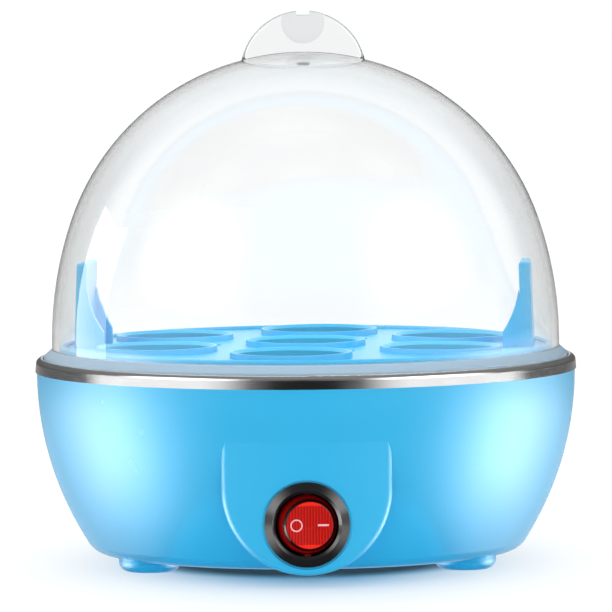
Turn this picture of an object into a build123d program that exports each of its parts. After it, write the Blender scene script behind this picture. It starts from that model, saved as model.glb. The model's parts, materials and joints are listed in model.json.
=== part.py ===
from build123d import *
from math import asin, cos, radians, sin, sqrt, tan
import os

# Egg cooker: a bowl with a steel rim and a water pan, a tray with lifting ears, a clear domed lid
# and a lit rocker switch. The floor is z = 0, the bowl turns about z and the switch faces -y.

# Clearances
slip_gap = 0.3  # pieces that lift off each other
seat_gap = 0.1  # pieces dropped or pressed into a seat
pivot_gap = 0.05  # round the rocker's pivots

# Steel rim
rim_radius = 75.0
rim_base_height = 53.5
rim_height = 3.7
rim_sheet = 0.6
rim_lean = 0.3
rim_bead_width = 2.1
rim_shoulder_radius = 1.5
rim_bead_edge_radius = 0.2
rim_inside_radius = 0.45
rim_ledge_drop = 0.8
rim_ledge_width = 3.9
rim_overhang = 0.4  # rim beyond the housing's skin

# Housing
housing_wall = 2.2
side_curve_radius = 88.0
bottom_corner_radius = 6.0
bottom_height = 3.2
foot_count = 3
foot_radius = 8.5
foot_inset = 8.8  # foot's centre inside the skin's lower edge
foot_edge_radius = 2.8

# Switch panel on the housing
panel_half_width = 23.0
panel_setback = 1.6  # panel's face behind the rim
panel_top_gap = 6.5  # plain skin between panel and rim
panel_drop = 0.1  # panel's foot below the housing's bottom
panel_edge_radius = 2.0
panel_thickness = 2.2

# Bottom cover
cover_foot_gap = 1.0  # between cover and feet
cover_thickness = 2.0
cover_lip_width = 6.5
cover_rib_width = 1.6
cover_rib_height = 2.6
vent_count = 8
vent_circle_radius = 17.0
vent_length = 10.0
vent_width = 2.4
screw_count = 3
screw_edge_distance = 3.3  # from the cover's edge
screw_boss_radius = 3.2
screw_boss_height = 7.0
screw_radius = 1.45
screw_length = 9.0
screw_head_radius = 2.7
screw_head_height = 1.4
screw_slot_width = 0.7
screw_slot_depth = 0.7

# Cord gland in the rear wall
gland_height = 21.0
gland_pad_rise = 1.2  # seat of the gland beyond the skin
gland_flange_radius = 8.2
gland_flange_thickness = 2.2
gland_neck_radius = 5.8
gland_lip_radius = 6.9
gland_lip_thickness = 1.6
gland_bore_radius = 3.3
gland_wall = 4.6
gland_pad_rim = 1.6
gland_edge_radius = 0.8

# Water pan and its seal
pan_sheet = 0.6
pan_depth = 16.8
pan_corner_radius = 12.0
pan_flange_corner_radius = 1.0
pan_well_margin = 3.0  # well beyond the spreader
pan_well_depth = 2.0
pan_well_slope = 1.2
seal_thickness = 0.8
seal_setback = 0.7  # seal round the pan's wall

# Heater under the pan
spreader_edge_distance = 4.4  # spreader beyond its studs
spreader_thickness = 2.6
tube_radius = 3.3
tube_ring_radius = 28.0
tube_groove_depth = 1.5
tube_gap_angle = 44.0
tube_bend_radius = 5.0
tube_leg_length = 2.4
bush_radius = 2.4
bush_length = 3.2
pin_radius = 1.1
pin_length = 7.0
stud_count = 3
stud_tube_gap = 1.3  # between heating ring and nuts
stud_radius = 2.0
stud_length = 7.6
nut_width = 7.0
nut_height = 3.2

# Thermostat and fuse under the spreader
cup_radius = 8.0
cup_height = 3.4
cup_flange_half_width = 4.0
cup_screw_distance = 12.0
base_radius = 7.7
base_height = 5.0
tab_width = 4.8
tab_thickness = 0.8
tab_start = 3.2
tab_reach = 15.5
tab_root_depth = 3.0
tab_drop = 1.2
fuse_angle = 218.0
fuse_radius = 2.0
fuse_length = 11.0
fuse_tube_gap = 1.0  # between fuse strap and heating ring
fuse_lead_radius = 0.5
fuse_lead_run = 3.2
fuse_lead_drop = 9.6
fuse_lead_bend = 1.8
bracket_sheet = 0.6
clip_width = 5.0
clip_wing = 5.2
small_screw_radius = 1.45
small_screw_head_radius = 2.5
small_screw_head_height = 1.8

# Rocker switch
switch_height = 16.9
bezel_radius = 11.5
bezel_height = 1.9
bezel_edge_height = 0.7
bezel_land_width = 0.85
bezel_step = 0.6
bezel_margin = 0.6
barrel_radius = 9.9
barrel_depth = 15.0
rocker_radius = 8.2
rocker_gap = 0.35
rocker_face = 5.1
rocker_back = 3.0
rocker_proud = 0.3
rocker_wall = 1.6
rocker_dish = 0.3
rocker_edge_radius = 0.4
rocker_tilt = 8.0
pivot_radius = 1.25
pivot_reach = 1.1
pocket_floor = 8.4
snap_reach = 1.1
snap_length = 4.6
snap_half_width = 3.0
terminal_pitch = 5.5
terminal_width = 4.8
terminal_thickness = 0.8
terminal_length = 9.0
terminal_root = 3.0
terminal_hole_radius = 0.8
lamp_radius = 1.9
lamp_length = 7.4
lamp_leg_radius = 0.35
lamp_leg_pitch = 2.2
lamp_setback = 1.8

# Wiring
wire_radius = 1.0
socket_wall = 0.9
socket_grip = 6.0
socket_length = 8.0
pin_socket_side = 4.6
sleeve_radius = 1.5
sleeve_length = 6.0
wire_depth = 1.0
lead_run = 6.0  # straight wire at a socket
lead_bow = 7.5  # wire's sideways sweep between two sockets
lead_drop = 2.0  # how far the switch's wire hangs
lead_bend_share = 0.45  # share of a run that each bend takes

# Egg tray
tray_wall = 1.8
deck_rise = 3.6  # deck above the rim's ledge
bead_gap = 0.4  # bead inside the lid's wall
bead_width = 1.7
bead_height = 0.9
bead_edge_radius = 0.7
tray_skirt_gap = 0.7  # skirt inside the pan's wall
tray_skirt_depth = 3.0
tray_turn = -5.0  # how the tray stands in the bowl
seat_count = 6
seat_radius = 15.0
seat_margin = 4.5  # plain deck between collar and bead
collar_height = 1.6
collar_width = 1.9
collar_slope = 0.8
steam_hole_radius = 2.6
ear_inset = 4.7  # ear inside the bead
ear_lean = 0.9
ear_half_width = 11.0
ear_height = 23.5
ear_thickness = 3.0
ear_gusset_depth = 8.2
ear_gusset_low = 4.4
ear_gusset_high = 15.8
ear_gusset_sag = 0.7
ear_gusset_thickness = 2.4
ear_corner_radius = 1.6
ear_top_radius = 0.8

# Lid
lid_wall = 1.8
dome_rise = 16.6  # dome's centre above the rim's ledge
dome_draw_in = 1.9  # dome narrower than the wall
lid_wall_rise = 5.4  # start of the dome's curve above the rim's ledge
brim_width = 2.3
brim_lip_height = 1.3
brim_rise = 2.0
brim_land = 1.6
brim_inner_rise = 2.8
grip_radius = 17.5
grip_sink = 6.1  # grip's centre below the dome's top
grip_thickness = 4.4
grip_edge_radius = 1.1
thumb_radius = 6.0
thumb_rise = 14.5  # thumb recess above the grip's centre
thumb_depth = 0.7
notch_width = 3.7
notch_depth = 1.2
steam_vent_radius = 2.0
steam_vent_distance = 12.0

# Heights that several pieces share
rim_top = rim_base_height + rim_height
ledge_top = rim_top - rim_ledge_drop
pan_flange_top = ledge_top - rim_sheet
seal_top = pan_flange_top - pan_sheet
housing_top = seal_top - seal_thickness
pan_floor_height = pan_flange_top - pan_depth
pan_underside = pan_floor_height - pan_well_depth - pan_sheet
spreader_underside = pan_underside - spreader_thickness
tube_height = spreader_underside + tube_groove_depth - tube_radius
cover_top = bottom_height + cover_thickness
cover_seat_top = cover_top + housing_wall
panel_top_height = rim_base_height - panel_top_gap
deck_top = ledge_top + deck_rise
dome_centre_height = ledge_top + dome_rise
tab_underside = spreader_underside - cup_height - base_height - tab_drop

# Distances from the axis that several pieces share
housing_radius = rim_radius - rim_overhang
bead_inner_radius = rim_radius - rim_bead_width
ledge_inner_radius = bead_inner_radius - rim_ledge_width
brim_radius = bead_inner_radius - slip_gap
lid_wall_radius = brim_radius - brim_width
dome_radius = lid_wall_radius - dome_draw_in
dome_top = dome_centre_height + dome_radius
grip_height = dome_top - grip_sink
thumb_height = grip_height + thumb_rise
pan_flange_radius = rim_radius - rim_lean - rim_sheet - slip_gap
pan_wall_radius = ledge_inner_radius - seat_gap
seal_inner_radius = pan_wall_radius + pan_sheet + seal_setback
tray_skirt_radius = pan_wall_radius - tray_skirt_gap
bead_radius = lid_wall_radius - lid_wall - bead_gap
ear_outer_radius = bead_radius - ear_inset
seat_circle_radius = bead_radius - bead_width - seat_margin - collar_width - seat_radius
steam_circle_radius = seat_circle_radius / sqrt(3)  # midway between three seats
stud_circle_radius = tube_ring_radius + tube_radius + stud_tube_gap + nut_width / sqrt(3)
spreader_radius = stud_circle_radius + spreader_edge_distance
pan_well_radius = spreader_radius + pan_well_margin
strap_radius = fuse_radius + pivot_gap + bracket_sheet
fuse_distance = tube_ring_radius - tube_radius - fuse_tube_gap - strap_radius
panel_face_radius = rim_radius - panel_setback
bezel_seat_radius = bezel_radius + bezel_margin
switch_face = sqrt(panel_face_radius**2 - bezel_seat_radius**2)
terminal_end = switch_face - barrel_depth - terminal_length
rocker_pivot_depth = rocker_face - bezel_height - rocker_proud
pocket_radius = rocker_radius + rocker_gap


def skin_radius(height):
    """Distance of the housing's outer skin from the axis."""
    drop = rim_base_height - height
    return housing_radius - side_curve_radius + sqrt(side_curve_radius**2 - drop**2)


foot_circle_radius = skin_radius(bottom_height) - foot_inset
cover_radius = foot_circle_radius - foot_radius - cover_foot_gap
screw_circle_radius = cover_radius - screw_edge_distance
cover_rib_radius = tube_ring_radius - pin_socket_side
gland_seat_distance = skin_radius(gland_height) + gland_pad_rise


def cyl(radius, low, high, x=0.0, y=0.0):
    """Upright cylinder between two heights."""
    return Pos(x, y, (low + high) / 2) * Cylinder(radius, high - low)


def block(x, y, z):
    """Box between pairs of limits."""
    centre = Pos(sum(x) / 2, sum(y) / 2, sum(z) / 2)
    return centre * Box(x[1] - x[0], y[1] - y[0], z[1] - z[0])


def section(points, radii=0.0):
    """Closed face of (radius, height) points in the xz plane, with rounded corners."""
    with BuildSketch(Plane.XZ) as sketch:
        with BuildLine():
            FilletPolyline(*points, radius=radii, close=True)
        make_face()
    return sketch.sketch


def spun(points, radii=0.0):
    """Solid of revolution about z."""
    return revolve(section(points, radii), Axis.Z)


def around(count, radius, start=0.0):
    """Places on a circle about z, each turned to face outwards."""
    step = 360.0 / count
    return [Rot(0, 0, start + i * step) * Pos(radius, 0, 0) for i in range(count)]


def group(places, solid):
    """Copies of one solid at several places."""
    return Compound(children=[place * solid for place in places])


def on_panel(solid):
    """Moves a solid from the panel's frame, z outwards, to the switch seat at the front."""
    return Pos(0, -switch_face, switch_height) * Rot(90, 0, 0) * solid


def on_rear(solid):
    """Moves a solid from the gland's frame, z outwards, to its seat at the back."""
    return Pos(0, gland_seat_distance, gland_height) * Rot(-90, 0, 0) * solid


def arc_point(centre, radius, angle):
    """Point on a circle in the xz plane, angle from +x."""
    return (centre[0] + radius * cos(angle), centre[1] + radius * sin(angle))


def bowl(inset, top):
    """Solid bowl whose skin lies inset behind the housing's outer skin."""
    centre = (housing_radius - side_curve_radius, rim_base_height)
    radius = side_curve_radius - inset
    floor = bottom_height + inset
    turn = asin((rim_base_height - floor) / radius)
    low = arc_point(centre, radius, -turn)
    middle = arc_point(centre, radius, -turn / 2)
    high = arc_point(centre, radius, 0)
    with BuildSketch(Plane.XZ) as sketch:
        with BuildLine():
            Polyline((0, top), (0, floor), low)
            ThreePointArc(low, middle, high)
            Polyline(high, (high[0], top), (0, top))
        make_face()
        corner = sketch.vertices().sort_by_distance((low[0], low[1], 0))[0]
        fillet(corner, bottom_corner_radius - inset)
    return revolve(sketch.sketch, Axis.Z)


def panel_block(inset):
    """Straight block behind the U-shaped panel outline."""
    half_width = panel_half_width - inset
    arc_height = bottom_height + panel_half_width - panel_drop
    with BuildSketch(Plane.XZ) as sketch:
        with Locations((0, arc_height)):
            Circle(half_width)
        with Locations((0, (arc_height + panel_top_height) / 2)):
            Rectangle(2 * half_width, panel_top_height - arc_height)
    return extrude(sketch.sketch, panel_face_radius + panel_edge_radius)


def make_panel():
    """Raised switch panel with a face curved about z and soft edges."""
    solid = panel_block(0) & cyl(panel_face_radius, 0, rim_base_height)
    rim = [
        edge
        for edge in solid.edges()
        if (edge @ 0.5).Y < -panel_face_radius / 2
        and (edge @ 0.5).Z < panel_top_height - panel_edge_radius
        and abs(sqrt((edge @ 0.5).X ** 2 + (edge @ 0.5).Y ** 2) - panel_face_radius) < seat_gap
    ]
    return fillet(rim, panel_edge_radius)


def make_panel_hollow():
    """Space behind the panel, flat where the switch is seated."""
    hollow = panel_block(housing_wall) & cyl(panel_face_radius - housing_wall, 0, rim_base_height)
    back = panel_thickness - switch_face
    return hollow & block((-rim_radius, rim_radius), (back, 0), (0, rim_base_height))


def make_housing():
    skirt_radius = rim_radius - rim_lean - rim_sheet - seat_gap
    foot = fillet(
        cyl(foot_radius, 0, bottom_height + housing_wall).edges().group_by(Axis.Z)[0],
        foot_edge_radius,
    )
    foot_core = cyl(foot_radius - housing_wall, housing_wall, bottom_height + 2 * housing_wall)
    feet = around(foot_count, foot_circle_radius, 90)
    shell = bowl(0, housing_top) + make_panel()
    shell += [place * foot for place in feet]
    shell -= bowl(housing_wall, rim_top)
    shell -= make_panel_hollow()
    shell -= [place * foot_core for place in feet]

    # Stepped seat and screw bosses for the bottom cover
    seat_radius_cover = cover_radius + seat_gap
    bosses = around(screw_count, screw_circle_radius, -90)
    boss_top = cover_seat_top + screw_boss_height
    shell += cyl(seat_radius_cover + housing_wall, bottom_height, cover_seat_top)
    shell += [place * cyl(screw_boss_radius, cover_top, boss_top) for place in bosses]
    shell -= cyl(seat_radius_cover, 0, cover_top)
    opening = cyl(cover_radius - cover_lip_width, 0, cover_seat_top)
    shell -= opening - [place * cyl(screw_boss_radius, 0, boss_top) for place in bosses]
    shell -= [place * cyl(screw_radius + pivot_gap, 0, boss_top) for place in bosses]

    # Seat for the cord gland: a pad through the rear wall with a flat face
    pad_radius = gland_flange_radius + slip_gap
    shell += on_rear(cyl(pad_radius + gland_pad_rim, -gland_wall, 0))
    shell -= on_rear(cyl(pad_radius, 0, gland_wall))
    shell -= on_rear(cyl(gland_neck_radius + seat_gap, -gland_wall, gland_wall))
    shell -= on_rear(cyl(gland_lip_radius + slip_gap, -3 * gland_wall, -gland_wall))

    # Seat and hole for the switch, and the step that takes the steel rim
    shell -= on_panel(cyl(bezel_seat_radius, 0, panel_edge_radius))
    shell -= on_panel(cyl(barrel_radius + 2 * seat_gap, -2 * panel_thickness, panel_thickness))
    shell -= cyl(rim_radius, rim_base_height, rim_top) - cyl(skirt_radius, rim_base_height, rim_top)
    return shell


def make_rim_ring():
    """Formed sheet: leaning skirt, rounded bead and an inner ledge for tray and lid."""
    outer = rim_radius - rim_lean
    points = [
        (rim_radius, rim_base_height),
        (outer, rim_top),
        (bead_inner_radius, rim_top),
        (bead_inner_radius, ledge_top),
        (ledge_inner_radius, ledge_top),
        (ledge_inner_radius, ledge_top - rim_sheet),
        (bead_inner_radius + rim_sheet, ledge_top - rim_sheet),
        (bead_inner_radius + rim_sheet, rim_top - rim_sheet),
        (outer - rim_sheet, rim_top - rim_sheet),
        (rim_radius - rim_sheet, rim_base_height),
    ]
    radii = [0, rim_shoulder_radius, rim_bead_edge_radius, 0, 0, 0, 0, 0, rim_inside_radius, 0]
    return spun(points, radii)


def make_water_pan():
    """Drawn sheet: flange, straight wall, wide corner and a shallow well over the heater."""
    wall = pan_wall_radius
    outside = pan_wall_radius + pan_sheet
    floor = pan_floor_height
    well = floor - pan_well_depth
    well_floor = pan_well_radius - pan_well_slope
    points = [
        (0, well),
        (well_floor, well),
        (pan_well_radius, floor),
        (wall, floor),
        (wall, pan_flange_top),
        (pan_flange_radius, pan_flange_top),
        (pan_flange_radius, seal_top),
        (outside, seal_top),
        (outside, floor - pan_sheet),
        (pan_well_radius + pan_sheet, floor - pan_sheet),
        (well_floor + pan_sheet, well - pan_sheet),
        (0, well - pan_sheet),
    ]
    bend = pan_flange_corner_radius
    corner = pan_corner_radius
    radii = [0, 0, 0, corner, bend, 0, 0, bend - pan_sheet, corner + pan_sheet, 0, 0, 0]
    return spun(points, radii)


def make_pan_seal():
    ring = cyl(pan_flange_radius, housing_top, seal_top)
    return ring - cyl(seal_inner_radius, housing_top, seal_top)


def make_bottom_cover():
    disc = cyl(cover_radius, bottom_height, cover_top)
    rib_top = cover_top + cover_rib_height
    rib = cyl(cover_rib_radius, cover_top, rib_top)
    rib -= cyl(cover_rib_radius - cover_rib_width, cover_top, rib_top)
    vent = extrude(SlotOverall(vent_length, vent_width), rib_top)
    cover = disc + rib
    cover -= [place * vent for place in around(vent_count, vent_circle_radius)]
    cover -= [place * screw_space(seat_gap) for place in around(screw_count, screw_circle_radius, -90)]
    return cover


def screw_space(gap):
    """Countersunk outline of a cover screw, widened by a gap."""
    shank = screw_radius + gap
    top = bottom_height + screw_length
    points = [
        (0, bottom_height),
        (screw_head_radius + gap, bottom_height),
        (shank, bottom_height + screw_head_height),
        (shank, top),
        (0, top),
    ]
    return spun(points)


def make_cover_screws():
    slot_depth = (bottom_height, bottom_height + screw_slot_depth)
    half_slot = screw_slot_width / 2
    slot = block((-screw_head_radius, screw_head_radius), (-half_slot, half_slot), slot_depth)
    screw = screw_space(0) - slot
    return group(around(screw_count, screw_circle_radius, -90), screw)


def make_cord_gland():
    points = [
        (gland_bore_radius, gland_flange_thickness),
        (gland_flange_radius, gland_flange_thickness),
        (gland_flange_radius, 0),
        (gland_neck_radius, 0),
        (gland_neck_radius, -gland_wall),
        (gland_lip_radius, -gland_wall),
        (gland_neck_radius, -gland_wall - gland_lip_thickness),
        (gland_bore_radius, -gland_wall - gland_lip_thickness),
    ]
    edge = gland_edge_radius
    return on_rear(spun(points, [edge, edge, 0, 0, 0, 0, 0, 0]))


def make_heat_spreader():
    disc = cyl(spreader_radius, spreader_underside, pan_underside)
    disc -= Pos(0, 0, tube_height) * Torus(tube_ring_radius, tube_radius + pivot_gap)
    studs = around(stud_count, stud_circle_radius)
    stud_hole = cyl(stud_radius + seat_gap, spreader_underside, pan_underside)
    disc -= [place * stud_hole for place in studs]
    hole = cyl(small_screw_radius + pivot_gap, spreader_underside, pan_underside)
    return disc - [place * hole for place in small_screw_places()]


def small_screw_places():
    """Screws of the thermostat flange, then the one of the fuse strap."""
    strap_screw = fuse_distance - strap_radius - clip_wing / 2
    flange_screws = [Pos(cup_screw_distance, 0, 0), Pos(-cup_screw_distance, 0, 0)]
    return flange_screws + [Rot(0, 0, fuse_angle) * Pos(strap_screw, 0, 0)]


def tube_end(side):
    """End of the heating ring on one side of its gap, and the foot of the bend there."""
    angle = radians(180 - side * tube_gap_angle / 2)
    end = Vector(tube_ring_radius * cos(angle), tube_ring_radius * sin(angle), tube_height)
    tangent = Vector(-sin(angle), cos(angle), 0) * side
    centre = end - Vector(0, 0, tube_bend_radius)
    middle = centre + (tangent + Vector(0, 0, 1)).normalized() * tube_bend_radius
    return end, middle, centre + tangent * tube_bend_radius


def pin_foot(side):
    """Where a heater pin ends, straight below the end of its tube leg."""
    foot = tube_end(side)[2]
    return foot - Vector(0, 0, tube_leg_length + bush_length + pin_length)


def make_heater_tube():
    """Heating ring with both ends bent straight down."""
    drop = Vector(0, 0, tube_leg_length)
    end_a, bend_a, foot_a = tube_end(1)
    end_b, bend_b, foot_b = tube_end(-1)
    path = Wire(
        [
            Edge.make_line(foot_a - drop, foot_a),
            Edge.make_three_point_arc(foot_a, bend_a, end_a),
            Edge.make_three_point_arc(end_a, Vector(tube_ring_radius, 0, tube_height), end_b),
            Edge.make_three_point_arc(end_b, bend_b, foot_b),
            Edge.make_line(foot_b, foot_b - drop),
        ]
    )
    return sweep(Plane(foot_a - drop, z_dir=(0, 0, 1)) * Circle(tube_radius), path=path)


def make_heater_bushes():
    top = tube_end(1)[2].Z - tube_leg_length
    bush = cyl(bush_radius, top - bush_length, top)
    return group(pin_places(), bush)


def make_heater_pins():
    low = pin_foot(1).Z
    return group(pin_places(), cyl(pin_radius, low, low + pin_length))


def pin_places():
    return [Pos(pin_foot(side).X, pin_foot(side).Y, 0) for side in (1, -1)]


def make_pan_studs():
    stud = cyl(stud_radius, pan_underside - stud_length, pan_underside)
    return group(around(stud_count, stud_circle_radius), stud)


def make_stud_nuts():
    hexagon = RegularPolygon(nut_width / 2, 6, major_radius=False)
    nut = Pos(0, 0, spreader_underside - nut_height) * extrude(hexagon, nut_height)
    nut -= cyl(stud_radius + pivot_gap, spreader_underside - nut_height, spreader_underside)
    return group(around(stud_count, stud_circle_radius), nut)


def make_thermostat_cup():
    low = spreader_underside - bracket_sheet
    wing = cup_screw_distance + cup_flange_half_width
    outline = extrude(SlotOverall(2 * wing, 2 * cup_flange_half_width), bracket_sheet)
    cup = cyl(cup_radius, spreader_underside - cup_height, spreader_underside) + Pos(0, 0, low) * outline
    hole = cyl(small_screw_radius + seat_gap, low, spreader_underside)
    return cup - [place * hole for place in small_screw_places()[:2]]


def make_thermostat_base():
    top = spreader_underside - cup_height
    return cyl(base_radius, top - base_height, top) - make_thermostat_tabs()


def make_thermostat_tabs():
    """Bent blades that leave the base towards the front and the back."""
    half_width = (-tab_width / 2, tab_width / 2)
    root_top = tab_underside + tab_drop + tab_root_depth
    tab = block((tab_start, tab_reach), half_width, (tab_underside, tab_underside + tab_thickness))
    tab += block((tab_start, tab_start + tab_thickness), half_width, (tab_underside, root_top))
    return group([Rot(0, 0, 90), Rot(0, 0, -90)], tab)


def on_fuse(solid):
    """Moves a solid from the fuse's frame, y along the fuse, to its place on the spreader."""
    height = spreader_underside - fuse_radius
    return Rot(0, 0, fuse_angle) * Pos(fuse_distance, 0, height) * solid


def make_thermal_fuse():
    return on_fuse(Rot(90, 0, 0) * Cylinder(fuse_radius, fuse_length))


def make_fuse_leads():
    reach = fuse_length / 2 + fuse_lead_run
    points = [(0, fuse_length / 2, 0), (0, reach, 0), (0, reach, -fuse_lead_drop)]
    path = FilletPolyline(*points, radius=fuse_lead_bend)
    lead = sweep(Plane(points[0], z_dir=(0, 1, 0)) * Circle(fuse_lead_radius), path=path)
    return Compound(children=[on_fuse(lead), on_fuse(Rot(0, 0, 180) * lead)])


def fuse_lead_end(side):
    """Lower end of a fuse lead; side is 1 or -1 along the fuse."""
    reach = fuse_length / 2 + fuse_lead_run
    tip = Pos(0, side * reach, -fuse_lead_drop)
    return (Rot(0, 0, fuse_angle) * Pos(fuse_distance, 0, spreader_underside - fuse_radius) * tip).position


def make_fuse_clip():
    """Strap round the fuse with a flat wing for its screw."""
    inner = fuse_radius + pivot_gap
    outer = strap_radius
    with BuildSketch(Plane.XZ) as sketch:
        Circle(outer)
        with Locations((0, fuse_radius / 2)):
            Rectangle(2 * outer, fuse_radius)
        Circle(inner, mode=Mode.SUBTRACT)
        with Locations((0, fuse_radius)):
            Rectangle(2 * inner, 2 * fuse_radius, mode=Mode.SUBTRACT)
        with Locations((0, 1.5 * fuse_radius)):
            Rectangle(4 * outer, fuse_radius, mode=Mode.SUBTRACT)
        with Locations((-(inner + outer + clip_wing) / 2, fuse_radius - bracket_sheet / 2)):
            Rectangle(outer + clip_wing - inner, bracket_sheet)
    strap = on_fuse(extrude(sketch.sketch, clip_width / 2, both=True))
    low = spreader_underside - bracket_sheet
    return strap - small_screw_places()[2] * cyl(small_screw_radius + seat_gap, low, spreader_underside)


def make_spreader_screws():
    seat = spreader_underside - bracket_sheet
    screw = cyl(small_screw_radius, seat, pan_underside - seat_gap)
    screw += cyl(small_screw_head_radius, seat - small_screw_head_height, seat)
    return group(small_screw_places(), screw)


def make_switch_body():
    points = [
        (pocket_radius, -pocket_floor),
        (pocket_radius, bezel_height - bezel_step),
        (pocket_radius + bezel_land_width, bezel_height),
        (bezel_radius, bezel_edge_height),
        (bezel_radius, 0),
        (barrel_radius, 0),
        (barrel_radius, -barrel_depth),
        (0, -barrel_depth),
        (0, -pocket_floor),
    ]
    body = spun(points)
    pivot_end = rocker_radius + pivot_reach + seat_gap
    bore = Rot(90, 0, 0) * Cylinder(pivot_radius + pivot_gap, 2 * pivot_end)
    body -= Pos(0, 0, -rocker_pivot_depth) * bore

    # Two snap wedges behind the panel
    seat = -panel_thickness - seat_gap
    root = barrel_radius - snap_reach
    wedge = section([(root, seat), (barrel_radius + snap_reach, seat), (root, seat - snap_length)])
    wedge = extrude(wedge, snap_half_width, both=True)
    wedge -= cyl(pocket_radius, -barrel_depth, 0)
    body += [wedge, Rot(0, 0, 180) * wedge]
    return on_panel(body) - make_switch_terminals()


def make_switch_terminals():
    z = (-barrel_depth - terminal_length, terminal_root - barrel_depth)
    half_width = (-terminal_width / 2, terminal_width / 2)
    half_thickness = terminal_thickness / 2
    blade = block((-half_thickness, half_thickness), half_width, z)
    hole = Rot(0, 90, 0) * Cylinder(terminal_hole_radius, 2 * terminal_thickness)
    blade -= Pos(0, 0, z[0] + socket_grip / 2) * hole
    return group([on_panel(Pos(x, 0, 0)) for x in (-terminal_pitch, 0, terminal_pitch)], blade)


def make_switch_lamp():
    """Small glass lamp on two legs, in the hollow of the rocker."""
    half_run = lamp_length / 2 - lamp_radius
    height = -rocker_pivot_depth - lamp_setback
    lamp = Rot(90, 0, 0) * Cylinder(lamp_radius, 2 * half_run)
    lamp += [Pos(0, y, 0) * Sphere(lamp_radius) for y in (-half_run, half_run)]
    lamp = Pos(0, 0, height) * lamp
    leg = cyl(lamp_leg_radius, -pocket_floor, height)
    lamp += [Pos(0, y, 0) * leg for y in (-lamp_leg_pitch / 2, lamp_leg_pitch / 2)]
    return on_panel(lamp)


def make_switch_rocker():
    """Ball-sided hollow rocker on two pivots, shown tilted with its right side pressed in."""
    shell = Sphere(rocker_radius) & cyl(2 * rocker_radius, -rocker_back, rocker_face)
    shell = fillet(shell.edges().group_by(Axis.Z)[-1], rocker_edge_radius)
    ceiling = cyl(rocker_radius, -rocker_radius, rocker_face - rocker_wall)
    shell -= Sphere(rocker_radius - rocker_wall) & ceiling
    dish_reach = sqrt(rocker_radius**2 - rocker_face**2) - 2 * rocker_edge_radius
    dish_radius = (dish_reach**2 + rocker_dish**2) / (2 * rocker_dish)
    shell -= Pos(0, 0, rocker_face - rocker_dish + dish_radius) * Sphere(dish_radius)
    reach = rocker_radius + pivot_reach
    pivot = Rot(90, 0, 0) * Cylinder(pivot_radius, 2 * reach)
    shell += pivot - cyl(rocker_radius - rocker_wall / 2, -rocker_face, rocker_face)
    return on_panel(Pos(0, 0, -rocker_pivot_depth) * Rot(0, rocker_tilt, 0) * shell)


def blade_socket(width, thickness):
    """Push-on socket; its blade comes from -x with the tip at the origin, its wire leaves at +x."""
    half_width = width / 2 + socket_wall
    half_thickness = thickness / 2 + socket_wall
    end = socket_length - socket_grip
    body = block((-socket_grip, end), (-half_width, half_width), (-half_thickness, half_thickness))
    half_slot = (width / 2 + pivot_gap, thickness / 2 + pivot_gap)
    body -= block((-socket_grip, 0), (-half_slot[0], half_slot[0]), (-half_slot[1], half_slot[1]))
    hole = Rot(0, 90, 0) * Cylinder(wire_radius + pivot_gap, 2 * wire_depth)
    return body - Pos(end, 0, 0) * hole


def socket_planes():
    """Frames of the three blade sockets: switch, front tab and back tab of the thermostat."""
    tab_middle = tab_underside + tab_thickness / 2
    return [
        Plane((terminal_pitch, -terminal_end, switch_height), (0, 1, 0), (1, 0, 0)),
        Plane((0, -tab_reach, tab_middle), (0, -1, 0), (0, 0, 1)),
        Plane((0, tab_reach, tab_middle), (0, 1, 0), (0, 0, 1)),
    ]


def make_blade_sockets():
    switch, front, back = socket_planes()
    tab_socket = blade_socket(tab_width, tab_thickness)
    switch_socket = blade_socket(terminal_width, terminal_thickness)
    return Compound(children=[switch * switch_socket, front * tab_socket, back * tab_socket])


def make_pin_sockets():
    low = pin_foot(1).Z
    half = pin_socket_side / 2
    body = block((-half, half), (-half, half), (low - socket_length + socket_grip, low + socket_grip))
    body -= cyl(pin_radius + pivot_gap, low, low + socket_grip)
    hole = Rot(90, 0, 0) * Cylinder(wire_radius + pivot_gap, 2 * wire_depth)
    places = pin_places()
    front = places[1] * (body - Pos(0, -half, low + socket_grip / 2) * hole)
    back = places[0] * (body - Pos(0, half, low + socket_grip / 2) * hole)
    return Compound(children=[front, back])


def make_crimp_sleeves():
    half = sleeve_length / 2
    sleeve = cyl(sleeve_radius, -half, half)
    sleeve -= cyl(fuse_lead_radius + pivot_gap, 0, half)
    sleeve -= cyl(wire_radius + pivot_gap, -half, -half + wire_depth)
    ends = [fuse_lead_end(side) for side in (1, -1)]
    return group([Pos(end.X, end.Y, end.Z) for end in ends], sleeve)


def lead(start, start_run, end, end_run, bow):
    """Round wire from one socket to another, straight at both ends, its middle pushed aside."""
    leave = start + start_run
    arrive = end + end_run
    points = [start, leave, (leave + arrive) / 2 + bow, arrive, end]
    runs = [b - a for a, b in zip(points, points[1:])]
    radii = []
    for before, after in zip(runs, runs[1:]):
        half_turn = radians(before.get_angle(after) / 2)
        radii.append(lead_bend_share * min(before.length, after.length) / tan(half_turn))
    path = FilletPolyline(*points, radius=radii)
    return sweep(Plane(start, z_dir=start_run) * Circle(wire_radius), path=path)


def socket_exit(plane):
    """Where a wire enters a blade socket."""
    return plane.from_local_coords(Vector(socket_length - socket_grip - wire_depth, 0, 0))


def pin_exit(side):
    """Where a wire enters the socket on a heater pin, on the side away from the other pin."""
    return pin_foot(side) + Vector(0, side * (pin_socket_side / 2 - wire_depth), socket_grip / 2)


def make_lead_switch():
    switch, front, back = socket_planes()
    run = Vector(0, lead_run, 0)
    return lead(socket_exit(switch), run, socket_exit(front), -run, Vector(0, 0, -lead_drop))


def make_lead_heater():
    run = Vector(0, lead_run, 0)
    return lead(socket_exit(socket_planes()[2]), run, pin_exit(1), run, Vector(0, lead_bow, 0))


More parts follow.
